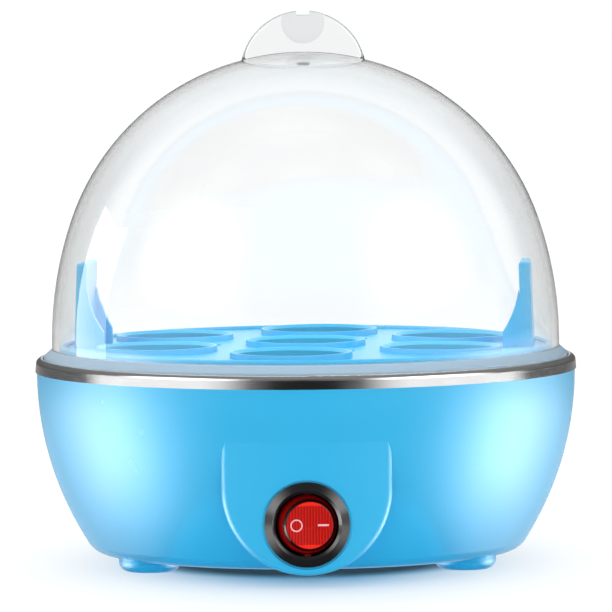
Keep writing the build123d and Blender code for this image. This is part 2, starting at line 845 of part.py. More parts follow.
def make_lead_fuse():
    start = fuse_lead_end(1) - Vector(0, 0, sleeve_length / 2 - wire_depth)
    down = Vector(0, 0, -lead_run)
    run = Vector(0, -lead_run, 0)
    return lead(start, down, pin_exit(-1), run, Vector(0, -lead_bow, 0))


def make_egg_tray():
    bead_inner = bead_radius - bead_width
    bead_top = deck_top + bead_height
    skirt_inner = tray_skirt_radius - tray_wall
    skirt_bottom = ledge_top - tray_skirt_depth
    slope_top = ledge_top + brim_inner_rise
    slope_gap = slip_gap * 2
    points = [
        (0, deck_top),
        (bead_inner, deck_top),
        (bead_inner, bead_top),
        (bead_radius, bead_top),
        (bead_radius, slope_top),
        (brim_radius - brim_land - slope_gap, ledge_top),
        (tray_skirt_radius, ledge_top),
        (tray_skirt_radius, skirt_bottom),
        (skirt_inner, skirt_bottom),
        (skirt_inner, deck_top - tray_wall),
        (0, deck_top - tray_wall),
    ]
    edge = bead_edge_radius
    tray = spun(points, [0, 0, edge, edge, 0, 0, 0, 0, 0, 0, 0])

    # Raised collar with a sloped mouth round each seat hole
    low = deck_top - tray_wall
    high = deck_top + collar_height
    collar_points = [
        (seat_radius, low),
        (seat_radius, high - collar_slope),
        (seat_radius + collar_slope, high),
        (seat_radius + collar_width - collar_slope / 2, high),
        (seat_radius + collar_width, low),
    ]
    seats = [Pos(0, 0, 0)] + around(seat_count, seat_circle_radius, -90)
    tray += [place * spun(collar_points) for place in seats]
    tray -= [place * cyl(seat_radius, low, high) for place in seats]
    steam_hole = cyl(steam_hole_radius, low, high)
    tray -= [place * steam_hole for place in around(seat_count, steam_circle_radius, 0)]
    ear = make_ear()
    tray += [ear, Rot(0, 0, 180) * ear]
    return Rot(0, 0, tray_turn) * tray


def make_ear():
    """Lifting ear: a leaning plate with a curved gusset at each end."""
    foot = deck_top - tray_wall / 2
    top = deck_top + ear_height
    outer_top = ear_outer_radius - ear_lean
    inner_top = outer_top - ear_thickness
    inner = ear_outer_radius - ear_thickness
    gusset = ear_outer_radius - ear_gusset_depth
    gusset_high = (inner_top, deck_top + ear_gusset_high)
    gusset_low = (gusset, deck_top + ear_gusset_low)
    plate = section([(ear_outer_radius, foot), (outer_top, top), (inner_top, top), (inner, foot)])
    with BuildSketch(Plane.XZ) as side:
        with BuildLine():
            Polyline(gusset_low, (gusset, foot), (inner_top + ear_thickness, foot), gusset_high)
            SagittaArc(gusset_high, gusset_low, ear_gusset_sag)
        make_face()
    gap = ear_half_width - ear_gusset_thickness
    outer_edge = outer_top - slip_gap
    space = block((0, rim_radius), (-gap, gap), (foot, top))
    ear = extrude(plate, ear_half_width, both=True)
    ear += extrude(side.sketch, ear_half_width, both=True) - space
    corners = [
        edge
        for edge in ear.edges()
        if (edge @ 0.5).X > outer_edge and abs((edge @ 0.5).Y) > gap and edge.length > ear_height / 2
    ]
    ear = fillet(corners, ear_corner_radius)
    return fillet(ear.edges().group_by(Axis.Z)[-1], ear_top_radius)


def dome(inset, foot):
    """Solid dome whose skin lies inset behind the lid's outer skin, on the given foot outline."""
    wall_start = ledge_top + lid_wall_rise
    rise = dome_centre_height - wall_start
    spread = lid_wall_radius - dome_radius
    curve_radius = (lid_wall_radius**2 + rise**2 - dome_radius**2) / (2 * spread)
    centre = (0, dome_centre_height)
    curve_centre = (lid_wall_radius - curve_radius, wall_start)
    turn = asin(rise / (curve_radius - dome_radius))
    quarter = radians(90)
    apex = arc_point(centre, dome_radius - inset, quarter)
    join = arc_point(centre, dome_radius - inset, turn)
    wall = arc_point(curve_centre, curve_radius - inset, 0)
    with BuildSketch(Plane.XZ) as sketch:
        with BuildLine():
            ThreePointArc(apex, arc_point(centre, dome_radius - inset, (quarter + turn) / 2), join)
            ThreePointArc(join, arc_point(curve_centre, curve_radius - inset, turn / 2), wall)
            Polyline(wall, *foot, (0, ledge_top), apex)
        make_face()
    return revolve(sketch.sketch, Axis.Z)


def make_grip():
    """Half-round grip, with a thumb recess on both faces and a notch at the top."""
    disc = Rot(90, 0, 0) * Cylinder(grip_radius, grip_thickness)
    disc = Pos(0, 0, grip_height) * fillet(disc.edges().filter_by(GeomType.CIRCLE), grip_edge_radius)
    top = grip_height + grip_radius
    half = grip_thickness / 2
    core = half - thumb_depth
    thumb = Pos(0, 0, thumb_height) * Rot(90, 0, 0) * Cylinder(thumb_radius, 2 * grip_thickness)
    thumb += block((-thumb_radius, thumb_radius), (-grip_thickness, grip_thickness), (thumb_height, top))
    thumb -= block((-grip_radius, grip_radius), (-core, core), (grip_height, top))
    notch = block((-notch_width / 2, notch_width / 2), (-half, half), (top - notch_depth, top))
    return disc - thumb - notch


def make_lid():
    brim_top = ledge_top + brim_lip_height + brim_rise
    lip_top = ledge_top + brim_lip_height
    inner_wall = lid_wall_radius - lid_wall
    outer_foot = [(lid_wall_radius, brim_top), (brim_radius, lip_top), (brim_radius, ledge_top)]
    inner_foot = [(inner_wall, ledge_top + brim_inner_rise), (brim_radius - brim_land, ledge_top)]
    lid = dome(0, outer_foot) + make_grip() - dome(lid_wall, inner_foot)
    return lid - cyl(steam_vent_radius, dome_centre_height, dome_top, 0, steam_vent_distance)


pieces = {
    "housing": make_housing,
    "rim_ring": make_rim_ring,
    "water_pan": make_water_pan,
    "pan_seal": make_pan_seal,
    "bottom_cover": make_bottom_cover,
    "cover_screws": make_cover_screws,
    "cord_gland": make_cord_gland,
    "heat_spreader": make_heat_spreader,
    "heater_tube": make_heater_tube,
    "heater_bushes": make_heater_bushes,
    "heater_pins": make_heater_pins,
    "pan_studs": make_pan_studs,
    "stud_nuts": make_stud_nuts,
    "thermostat_cup": make_thermostat_cup,
    "thermostat_base": make_thermostat_base,
    "thermostat_tabs": make_thermostat_tabs,
    "thermal_fuse": make_thermal_fuse,
    "fuse_leads": make_fuse_leads,
    "fuse_clip": make_fuse_clip,
    "spreader_screws": make_spreader_screws,
    "switch_body": make_switch_body,
    "switch_terminals": make_switch_terminals,
    "switch_lamp": make_switch_lamp,
    "switch_rocker": make_switch_rocker,
    "blade_sockets": make_blade_sockets,
    "pin_sockets": make_pin_sockets,
    "crimp_sleeves": make_crimp_sleeves,
    "lead_switch": make_lead_switch,
    "lead_heater": make_lead_heater,
    "lead_fuse": make_lead_fuse,
    "egg_tray": make_egg_tray,
    "lid": make_lid,
}

os.makedirs("parts", exist_ok=True)
for name, make in pieces.items():
    export_step(make(), f"parts/{name}.step")
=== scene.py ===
# %% [markdown]
# # A table-top egg cooker
# The shapes of this appliance come from a CAD model that is already assembled: a blue bowl, a
# steel rim, a tray, a clear lid and a red switch. This lesson gives each piece the finish of its
# real material, adds the small printed signs of the switch, and lights the whole as in a studio.
# First the model is loaded as a fixed frame.

# %% Load the frame
import json
from math import cos, radians, sin

import bmesh
import bpy
from mathutils import Matrix, Vector


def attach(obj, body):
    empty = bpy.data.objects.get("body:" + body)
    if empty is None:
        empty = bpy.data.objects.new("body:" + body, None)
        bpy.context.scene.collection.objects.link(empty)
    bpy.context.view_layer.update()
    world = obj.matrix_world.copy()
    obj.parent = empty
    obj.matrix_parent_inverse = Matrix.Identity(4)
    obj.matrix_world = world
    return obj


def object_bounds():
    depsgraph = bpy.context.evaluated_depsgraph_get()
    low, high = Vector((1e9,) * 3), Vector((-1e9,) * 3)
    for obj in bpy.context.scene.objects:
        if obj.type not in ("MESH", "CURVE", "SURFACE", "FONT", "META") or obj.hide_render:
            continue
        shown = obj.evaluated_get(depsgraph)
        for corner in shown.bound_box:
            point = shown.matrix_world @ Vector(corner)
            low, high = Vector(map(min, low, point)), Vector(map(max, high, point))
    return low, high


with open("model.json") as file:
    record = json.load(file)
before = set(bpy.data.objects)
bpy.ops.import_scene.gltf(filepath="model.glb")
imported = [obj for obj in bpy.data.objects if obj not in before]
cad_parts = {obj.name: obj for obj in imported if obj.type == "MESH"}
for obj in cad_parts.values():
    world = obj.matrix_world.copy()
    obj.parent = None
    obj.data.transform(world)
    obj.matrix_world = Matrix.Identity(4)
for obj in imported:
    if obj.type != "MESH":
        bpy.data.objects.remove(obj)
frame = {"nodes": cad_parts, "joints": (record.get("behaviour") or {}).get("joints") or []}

scene = bpy.context.scene
cad_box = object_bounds()
size_mm = [round(1000 * side) for side in cad_box[1] - cad_box[0]]
print("pieces:", len(frame["nodes"]), "size in mm:", size_mm)

# %% [markdown]
# ## The camera
# A long lens far away keeps the round rim a flat ellipse, as in a product photo. The rim's ellipse
# tells how high the camera stands, and the size of the object in the picture tells the focal
# length. The picture leans by half a degree, so the camera is rolled by that much.

# %% Camera
camera_place = Vector((0.0, -2.25, 0.225))
camera_aim = Vector((0.0002, 0.0, 0.0709))
camera_lens = 478.5
camera_roll = radians(-0.5)

camera = bpy.data.objects.new("camera", bpy.data.cameras.new("camera"))
scene.collection.objects.link(camera)
gaze = camera_aim - camera_place
turn = gaze.to_track_quat("-Z", "Y").to_matrix() @ Matrix.Rotation(camera_roll, 3, "Z")
camera.matrix_world = Matrix.Translation(camera_place) @ turn.to_4x4()
camera.data.lens = camera_lens
scene.camera = camera
print("camera is", round(gaze.length, 2), "m from the object")

# %% [markdown]
# ## Helpers for nodes and colours
# Colours are written as on the screen, in sRGB hex, and one function turns them into the linear
# light that shaders count in. Another small function adds any node: it sets the node's properties,
# then fills its sockets with values or with links from other nodes. Pattern sizes are given in
# millimetres.

# %% Helpers
def linear(hex_colour):
    """Linear RGBA of an sRGB hex colour, by the two parts of the sRGB curve."""
    channels = [int(hex_colour[i:i + 2], 16) / 255 for i in (1, 3, 5)]
    return [c / 12.92 if c <= 0.04045 else ((c + 0.055) / 1.055) ** 2.4 for c in channels] + [1.0]


def add(tree, kind, sockets=None, **settings):
    """Adds a node with its properties, and fills its sockets with values or links."""
    node = tree.nodes.new(kind)
    for name, value in settings.items():
        setattr(node, name, value)
    for key, value in (sockets or {}).items():
        if isinstance(value, bpy.types.NodeSocket):
            tree.links.new(value, node.inputs[key])
        else:
            node.inputs[key].default_value = value
    return node


def new_finish(name, colour, sockets):
    """Starts a material: its plain colour and constants are set on the shader's own sockets."""
    material = bpy.data.materials.new(name)
    material.use_nodes = True
    tree = material.node_tree
    shader = tree.nodes["Principled BSDF"]
    shader.inputs["Base Color"].default_value = linear(colour)
    for key, value in sockets.items():
        shader.inputs[key].default_value = value
    place = add(tree, "ShaderNodeTexCoord").outputs["Object"]
    return material, tree, shader, place


def per_mm(size):
    """Texture scale whose features are about this many millimetres wide."""
    return 1000.0 / size


greys = [round(linear(grey)[0], 3) for grey in ("#000000", "#808080", "#ffffff")]
print("black, mid grey and white in linear light:", greys)

# %% [markdown]
# ## Floor
# The object stands on a plain pale floor that keeps its shadow, fading with distance. The dark
# under the bowl is a painted shade in the floor's colour. To the camera, and through the clear lid,
# the floor turns into a plain white backdrop within a hand's width. The growing glow of that
# backdrop paints the fade of the shadow, and near the bowl the glow carries a painted blue tint of
# light thrown back from the bowl. No other ray sees that glow, so it does not light the bowl.
# Lamps shine through the floor, as through a table of milk glass.

# %% Floor
floor_half_width = 4.0
floor_drop = 0.0002  # metres below the feet, so that no two faces coincide

floor_mesh = bpy.data.meshes.new("floor")
sheet = bmesh.new()
bmesh.ops.create_grid(sheet, x_segments=1, y_segments=1, size=floor_half_width)
bmesh.ops.translate(sheet, verts=sheet.verts, vec=(0, 0, -floor_drop))
sheet.to_mesh(floor_mesh)
sheet.free()
floor = bpy.data.objects.new("floor", floor_mesh)
scene.collection.objects.link(floor)
floor.visible_glossy = False  # reflections show the room below instead
floor.visible_shadow = False  # a lamp under the table shines through
print("floor is", 2 * floor_half_width, "m wide")

# %% Shadow on the floor
# pale floor colour, a painted shade under the bowl, and a painted blue bounce from the bowl
floor_colour, painted_shade_colour, painted_bounce_colour = "#dde1e4", "#20282d", "#8fcbee"
floor_roughness = 0.45
# The fade of the shadow is partly painted: the backdrop's glow grows over the floor's real shadow
# with distance from the axis.
shadow_squeeze = (1.75, 1.0, 0.0)  # the shadow reaches less far to the sides than to the front
shadow_start = 0.041  # metres from the axis where the shadow begins to fade
shadow_length = 0.036  # metres in which it fades to about a third
shadow_lengths = 8.0  # so many of them are counted
# where the painted shade under the bowl ends
painted_shade_reach = (0.034, 0.05)  # metres from the axis between which the dark under the bowl ends
backdrop_power = 1.08  # a little over white, because the lid takes some light away

paper, tree, shader, place = new_finish("pale_studio_floor", floor_colour,
                                        {"Roughness": floor_roughness})
rays = add(tree, "ShaderNodeLightPath")
seen = add(tree, "ShaderNodeMath", {0: rays.outputs["Is Camera Ray"],
                                    1: rays.outputs["Is Transmission Ray"]}, operation="MAXIMUM")
squeezed = add(tree, "ShaderNodeVectorMath", {0: place, 1: shadow_squeeze}, operation="MULTIPLY")
away = add(tree, "ShaderNodeVectorMath", {0: squeezed.outputs[0]}, operation="LENGTH")
lengths = add(tree, "ShaderNodeMapRange", {
    "Value": away.outputs["Value"], "From Min": shadow_start,
    "From Max": shadow_start + shadow_lengths * shadow_length, "To Max": -shadow_lengths})
left = add(tree, "ShaderNodeMath", {0: lengths.outputs[0]}, operation="EXPONENT")
faded = add(tree, "ShaderNodeMath", {0: 1.0, 1: left.outputs[0]}, operation="SUBTRACT")
apart = add(tree, "ShaderNodeVectorMath", {0: place}, operation="LENGTH")
past_painted_shade = add(tree, "ShaderNodeMapRange", {
    "Value": apart.outputs["Value"], "From Min": painted_shade_reach[0], "From Max": painted_shade_reach[1]},
    interpolation_type="SMOOTHSTEP")
fade = add(tree, "ShaderNodeMath", {0: faded.outputs[0], 1: past_painted_shade.outputs[0]},
           operation="MULTIPLY")
# painted shade: the floor's colour turns dark under the bowl
shade = add(tree, "ShaderNodeMix", {0: past_painted_shade.outputs[0], 6: linear(painted_shade_colour),
                                    7: linear(floor_colour)}, data_type="RGBA")
tree.links.new(shade.outputs[2], shader.inputs["Base Color"])
# painted blue bounce from the bowl, in the backdrop's glow near it
painted_bounce = add(tree, "ShaderNodeMix", {0: fade.outputs[0], 6: linear(painted_bounce_colour),
                                    7: linear("#ffffff")}, data_type="RGBA")
backdrop = add(tree, "ShaderNodeEmission", {"Color": painted_bounce.outputs[2], "Strength": backdrop_power})
part = add(tree, "ShaderNodeMath", {0: seen.outputs[0], 1: fade.outputs[0]}, operation="MULTIPLY")
whole = add(tree, "ShaderNodeMixShader", {0: part.outputs[0], 1: shader.outputs[0],
                                          2: backdrop.outputs[0]})
tree.links.new(whole.outputs[0], tree.nodes["Material Output"].inputs["Surface"])
floor_mesh.materials.append(paper)
print("made", paper.name)

# %% [markdown]
# ## Lamps
# Two large softboxes in front and one overhead give the soft light, and a weaker one below the
# table lifts the lower part of the bowl. A small lamp at the left shows in the lid as a pale strip
# before one ear of the tray. The steel rim would show it too, so that lamp is linked to the lid
# alone.

# %% Lamps
lamp_aim = Vector((0.0, 0.0, 0.06))


def softbox(name, azimuth, height, distance, size, power):
    """Lamp that looks at the object; azimuth is in degrees to the right of the camera's side."""
    data = bpy.data.lights.new(name, "AREA")
    data.shape = "RECTANGLE"
    data.size, data.size_y = size
    data.energy = power
    lamp = bpy.data.objects.new(name, data)
    scene.collection.objects.link(lamp)
    angle = radians(azimuth)
    lamp.location = (distance * sin(angle), -distance * cos(angle), height)
    lamp.rotation_euler = (lamp_aim - lamp.location).to_track_quat("-Z", "Y").to_euler()
    lamp.visible_camera = False
    lamp.visible_glossy = False
    lamp.visible_transmission = False
    return lamp


for side, azimuth in (("left", -36), ("right", 36)):
    softbox(f"softbox_{side}", azimuth, height=0.21, distance=1.5, size=(1.4, 0.4), power=5.6)
softbox("overhead", 0, height=1.6, distance=0.05, size=(1.2, 1.2), power=18.0)
softbox("under_table", 0, height=-0.25, distance=0.3, size=(0.8, 0.3), power=1.6)
strip = softbox("lid_strip", -108, height=0.13, distance=0.45, size=(0.2, 0.22), power=0.5)
strip.visible_glossy = True
only_lid = bpy.data.collections.new("only_lid")
only_lid.objects.link(frame["nodes"]["lid"])
strip.light_linking.receiver_collection = only_lid
print("lamps:", len(bpy.data.lights))

# %% [markdown]
# ## Room
# Steel and glossy plastic show the studio more than themselves, so what they mirror is laid out
# apart, in the world. Round the horizon stand a dark wall behind the camera, two white walls and
# dim ends, which the steel rim shows as black, white and grey. Below table height two bright low
# cards at the sides give the bowl its two soft upright highlights. Above the horizon are the two
# softboxes, which the bezel of the switch shows, and at the top a dim ceiling. Rays of the other
# kinds see plain white or soft light.

# %% Room seen in reflections
# Brightness of each band at degrees from the camera's side, the same to the left and the right.
room_walls = [(0, 0.012), (13, 0.02), (23, 0.15), (36, 0.8), (44, 1.0), (97, 1.0), (109, 0.1),
              (176, 0.1), (180, 0.9)]
low_cards = [(0, 0.003), (39, 0.02), (55, 0.12), (72, 0.5), (81, 0.82), (90, 1.0), (100, 0.9),
             (111, 0.65), (123, 0.34), (136, 0.16), (150, 0.07), (180, 0.05)]
softboxes = [(0, 0.02), (25, 0.05), (52, 1.0), (64, 1.0), (92, 0.05), (180, 0.03)]
wall_power, card_power, softbox_power = 1.3, 14.0, 5.0
card_turn = 2.0  # degrees that the cards stand further round on the right
half_turn = 180.0

world = bpy.data.worlds.new("studio")
scene.world = world
world.use_nodes = True
tree = world.node_tree
tree.nodes.clear()
way = add(tree, "ShaderNodeSeparateXYZ", {0: add(tree, "ShaderNodeTexCoord").outputs["Generated"]})
ahead = add(tree, "ShaderNodeMath", {0: way.outputs["Y"], 1: -1.0}, operation="MULTIPLY")
bearing = add(tree, "ShaderNodeMath", {0: way.outputs["X"], 1: ahead.outputs[0]},
              operation="ARCTAN2")
degrees = add(tree, "ShaderNodeMath", {0: bearing.outputs[0]}, operation="DEGREES")
bands = []
for stops, power, turned in ((room_walls, wall_power, 0.0), (low_cards, card_power, card_turn),
                             (softboxes, softbox_power, 0.0)):
    shifted = add(tree, "ShaderNodeMath", {0: degrees.outputs[0], 1: turned}, operation="SUBTRACT")
    aside = add(tree, "ShaderNodeMath", {0: shifted.outputs[0]}, operation="ABSOLUTE")
    share = add(tree, "ShaderNodeMath", {0: aside.outputs[0], 1: half_turn}, operation="DIVIDE")
    band = add(tree, "ShaderNodeValToRGB", {0: share.outputs[0]})
    while len(band.color_ramp.elements) < len(stops):
        band.color_ramp.elements.new(1.0)
    for element, (degree, level) in zip(band.color_ramp.elements, stops):
        element.position = degree / half_turn
        element.color = (level, level, level, 1.0)
    lit = add(tree, "ShaderNodeVectorMath", {0: band.outputs[0], 3: power}, operation="SCALE")
    bands.append(lit.outputs[0])
print("bands of the room:", len(bands))

# %% Layers of the room
walls, cards, boxes = bands
ceiling = (0.3, 0.3, 0.3, 1.0)
under = (0.12, 0.12, 0.12, 1.0)
layers = (  # upward share of a direction where the layer begins, where it is full, and the layer
    (-0.03, -0.15, cards),
    (-0.4, -0.75, under),
    (0.13, 0.26, boxes),
    (0.45, 0.75, ceiling),
)
room = walls
for begins, full, layer in layers:
    height = add(tree, "ShaderNodeMapRange", {"Value": way.outputs["Z"], "From Min": begins,
                                              "From Max": full})
    room = add(tree, "ShaderNodeMix", {0: height.outputs[0], 6: room, 7: layer},
               data_type="RGBA").outputs[2]
print("layers above and below the walls:", len(layers))

# %% World
soft_colour = "#f4f7fa"
soft_power = 0.42
inside_power = 1.8  # for the tray, which sees the world only through the lid

rays = add(tree, "ShaderNodeLightPath")
soft = add(tree, "ShaderNodeBackground", {"Color": linear(soft_colour), "Strength": soft_power})
mirrored = add(tree, "ShaderNodeBackground", {"Color": room})
level = add(tree, "ShaderNodeMapRange", {"Value": rays.outputs["Diffuse Depth"],
                                         "To Min": backdrop_power, "To Max": inside_power})
behind = add(tree, "ShaderNodeBackground", {"Color": linear("#ffffff"),
                                            "Strength": level.outputs[0]})
white = add(tree, "ShaderNodeBackground", {"Color": linear("#ffffff")})
view = soft
for ray, shown in (("Is Glossy Ray", mirrored), ("Is Transmission Ray", behind),
                   ("Is Camera Ray", white)):
    view = add(tree, "ShaderNodeMixShader", {0: rays.outputs[ray], 1: view.outputs[0],
                                             2: shown.outputs[0]})
add(tree, "ShaderNodeOutputWorld", {0: view.outputs[0]})
scene.view_settings.view_transform = "Standard"
print("world shows white to the camera")

# %% [markdown]
# ## Blue moulded polypropylene
# Bowl, bottom cover and tray are injection moulded in a smooth mould. The plastic is coloured
# through, with slow differences where it flowed, and it is a little duller where hands and cloths
# have wiped it.

# %% Blue plastic
flow_size, wiped_size = 70, 30  # millimetres
blue_dull = (0.23, 0.29)  # lowest and highest roughness

blue, tree, shader, place = new_finish("moulded_blue_polypropylene", "#3fb0de", {"IOR": 1.49})
flow = add(tree, "ShaderNodeTexNoise", {"Vector": place, "Scale": per_mm(flow_size), "Detail": 2.0})
tint = add(tree, "ShaderNodeMix", {0: flow.outputs[0], 6: linear("#2cabda"), 7: linear("#34b3e2")},
           data_type="RGBA")
tree.links.new(tint.outputs[2], shader.inputs["Base Color"])
wiped = add(tree, "ShaderNodeTexNoise", {"Vector": place, "Scale": per_mm(wiped_size),
                                         "Detail": 3.0})
gloss = add(tree, "ShaderNodeMapRange", {"Value": wiped.outputs[0], "To Min": blue_dull[0],
                                         "To Max": blue_dull[1]})
tree.links.new(gloss.outputs[0], shader.inputs["Roughness"])
print("made", blue.name)

# %% [markdown]
# ## Clear moulded polystyrene
# The lid is a thin clear shell. Its walls bend light at the edges, and fine scuffs from cleaning
# blur it a little in places. The sloping brim is etched in the mould, so it is milky and hides
# what lies behind it, and so is the thumb recess of the grip. The brim's milky colour holds a
# painted blue cast of the tray behind it, and the recess a painted grey shade. A full glass shader
# on the real wall thickness gives the rest. Light that crosses a wall aslant has a longer way
# through the plastic and loses a little more, less so near the top, and the solid grip swallows
# more than the dome.

# %% Clear plastic
scuff_size = 9  # millimetres
scuffed = (0.45, 0.8)  # part of the noise that counts as scuffs
scuff_dull = (0.01, 0.05)
brim_top = 0.0597
brim_edge = (brim_top - 0.0003, brim_top + 0.0002)  # heights between which the etching ends
brim_clearness = 0.5
thumb_middle = (0.0, 0.0, 0.1497)
thumb_edge = (0.0059, 0.006)  # radii between which the recess ends
etched_dull = 0.45

clear, tree, shader, place = new_finish("moulded_clear_polystyrene", "#fdfefe",
                                        {"IOR": 1.5, "Transmission Weight": 1.0})
scuffs = add(tree, "ShaderNodeTexNoise", {"Vector": place, "Scale": per_mm(scuff_size),
                                          "Detail": 6.0, "Distortion": 0.6})
haze = add(tree, "ShaderNodeMapRange", {
    "Value": scuffs.outputs[0], "From Min": scuffed[0], "From Max": scuffed[1],
    "To Min": scuff_dull[0], "To Max": scuff_dull[1]})
height = add(tree, "ShaderNodeSeparateXYZ", {0: place}).outputs["Z"]
frost = add(tree, "ShaderNodeMapRange", {
    "Value": height, "From Min": brim_edge[0], "From Max": brim_edge[1],
    "To Min": 1.0, "To Max": 0.0}).outputs[0]
upright = add(tree, "ShaderNodeVectorMath", {0: place, 1: (1.0, 0.0, 1.0)}, operation="MULTIPLY")
from_thumb = add(tree, "ShaderNodeVectorMath", {0: upright.outputs[0], 1: thumb_middle},
                 operation="DISTANCE")
recess = add(tree, "ShaderNodeMapRange", {
    "Value": from_thumb.outputs["Value"], "From Min": thumb_edge[0], "From Max": thumb_edge[1],
    "To Min": 1.0, "To Max": 0.0}).outputs[0]
either = add(tree, "ShaderNodeMath", {0: frost, 1: recess}, operation="MAXIMUM")
etched = add(tree, "ShaderNodeMath", {0: either.outputs[0], 1: etched_dull}, operation="MULTIPLY")
rough = add(tree, "ShaderNodeMath", {0: haze.outputs[0], 1: etched.outputs[0]},
            operation="MAXIMUM")
tree.links.new(rough.outputs[0], shader.inputs["Roughness"])
cleared = add(tree, "ShaderNodeMapRange", {"Value": frost, "To Min": 1.0,
                                           "To Max": brim_clearness})
tree.links.new(cleared.outputs[0], shader.inputs["Transmission Weight"])
print("brim is etched up to", round(1000 * brim_top, 1), "mm")

# %% Tint of the clear plastic
grip_foot = (0.1385, 0.1405)  # heights between which the dome turns into the solid grip
thick_wall = (0.105, 0.125)  # heights between which the wall grows thinner
aslant_from = (0.51, 0.61)  # how far a wall turns from the ray before it takes its darker tint

solid = add(tree, "ShaderNodeMapRange", {"Value": height, "From Min": grip_foot[0],
                                         "From Max": grip_foot[1]})
slope = add(tree, "ShaderNodeMapRange", {
    "Value": add(tree, "ShaderNodeLayerWeight").outputs["Facing"],
    "From Min": aslant_from[0], "From Max": aslant_from[1]})
upper = add(tree, "ShaderNodeMapRange", {"Value": height, "From Min": thick_wall[0],
                                         "From Max": thick_wall[1]})
wall = add(tree, "ShaderNodeMix", {0: upper.outputs[0], 6: linear("#e3e5e5"),
                                   7: linear("#f8fafa")}, data_type="RGBA").outputs[2]
straight, aslant = [
    add(tree, "ShaderNodeMix", {0: solid.outputs[0], 6: dome, 7: linear(grip)},
        data_type="RGBA").outputs[2]
    for dome, grip in ((linear("#fdfefe"), "#eff1f1"), (wall, "#d3d6d6"))]
tint = straight
# painted grey shade in the thumb recess, and a painted blue cast of the tray in the etched brim's
# milky grey
for share, colour in ((slope.outputs[0], aslant), (recess, linear("#e4e6e6")),
                      (frost, linear("#bed1dd"))):
    tint = add(tree, "ShaderNodeMix", {0: share, 6: tint, 7: colour}, data_type="RGBA").outputs[2]
tree.links.new(tint, shader.inputs["Base Color"])
print("made", clear.name)

# %% [markdown]
# ## Steel
# The rim is rolled from stainless strip and polished round its circumference, so its fine lines
# run round the axis. The pattern is read from the distance to the axis and the height, and hardly
# changes along the rim. The water pan is drawn from the same sheet and only brushed, so it is
# duller.

# %% Steel of the rim and the pan
line_drift = 0.004  # metres by which the lines shift in a radian round the axis
line_span = (0.3, 0.7)  # values that the noise mostly keeps to
line_relief, line_depth = 0.25, 0.00002


def turned_lines(tree, place, spacing):
    """Noise in lines round the z axis, spaced in millimetres."""
    across = add(tree, "ShaderNodeVectorMath", {0: place, 1: (1.0, 1.0, 0.0)},
                 operation="MULTIPLY")
    reach = add(tree, "ShaderNodeVectorMath", {0: across.outputs[0]}, operation="LENGTH")
    axes = add(tree, "ShaderNodeSeparateXYZ", {0: place})
    bearing = add(tree, "ShaderNodeMath", {0: axes.outputs["X"], 1: axes.outputs["Y"]},
                  operation="ARCTAN2")
    drift = add(tree, "ShaderNodeMath", {0: bearing.outputs[0], 1: line_drift},
                operation="MULTIPLY")
    lines = add(tree, "ShaderNodeCombineXYZ", {0: reach.outputs["Value"], 1: drift.outputs[0],
                                               2: axes.outputs["Z"]})
    return add(tree, "ShaderNodeTexNoise", {"Vector": lines.outputs[0], "Scale": per_mm(spacing),
                                            "Detail": 3.0})


def steel(name, colour, spacing, dull):
    """Stainless steel with lines round the axis; dull is its lowest and highest roughness."""
    material, tree, shader, place = new_finish(name, colour, {"Metallic": 1.0})
    lines = turned_lines(tree, place, spacing)
    gloss = add(tree, "ShaderNodeMapRange", {
        "Value": lines.outputs[0], "From Min": line_span[0], "From Max": line_span[1],
        "To Min": dull[0], "To Max": dull[1]})
    tree.links.new(gloss.outputs[0], shader.inputs["Roughness"])
    ridge = add(tree, "ShaderNodeBump", {"Height": lines.outputs[0], "Strength": line_relief,
                                         "Distance": line_depth})
    tree.links.new(ridge.outputs[0], shader.inputs["Normal"])
    return material


rim_steel = steel("polished_stainless_strip", "#d2d2d2", spacing=0.35, dull=(0.08, 0.17))
pan_steel = steel("brushed_drawn_stainless", "#c9c7c3", spacing=0.5, dull=(0.28, 0.42))
print("made", rim_steel.name, "and", pan_steel.name)

# %% [markdown]
# ## Switch
# The bezel and barrel are black nylon with a satin gloss. The rocker is clear red polycarbonate:
# smooth outside, with upright ribs inside that spread the light of the lamp. A clear coat over
# ribbed red shows just that, because the coat keeps the smooth outer surface while the ribs lie
# below it. Where the face ends at top and bottom its colour is lighter, a painted highlight. Its
# flanks are painted dark, a painted shade of the hollow in the bezel, nearly black next to the
# face as a painted shade in the crease there.

# %% Black nylon
nylon_grain = 0.8  # millimetres
satin_dull = (0.14, 0.22)

black, tree, shader, place = new_finish("satin_black_nylon", "#0d0d0f", {"IOR": 1.53})
grain = add(tree, "ShaderNodeTexNoise", {"Vector": place, "Scale": per_mm(nylon_grain),
                                         "Detail": 3.0})
satin = add(tree, "ShaderNodeMapRange", {"Value": grain.outputs[0], "To Min": satin_dull[0],
                                         "To Max": satin_dull[1]})
tree.links.new(satin.outputs[0], shader.inputs["Roughness"])
print("made", black.name)

# %% Place of the rocker
rocker_tilt = radians(8.0)
quarter_turn = radians(90)

pivot = Vector(next(j for j in frame["joints"] if j["name"] == "switch_rock")["pos_m"])
on_rocker = (Matrix.Translation(pivot) @ Matrix.Rotation(quarter_turn, 4, "X")
             @ Matrix.Rotation(rocker_tilt, 4, "Y"))
outwards = on_rocker.to_3x3() @ Vector((0, 0, 1))
print("rocker faces", [round(share, 2) for share in outwards])

# %% Ribs of the red lens
rib_spacing = 0.8  # millimetres
wave_turn = radians(360) / 20  # the wave texture counts 20 radians per unit
rib_relief, rib_depth = 0.3, 0.0001

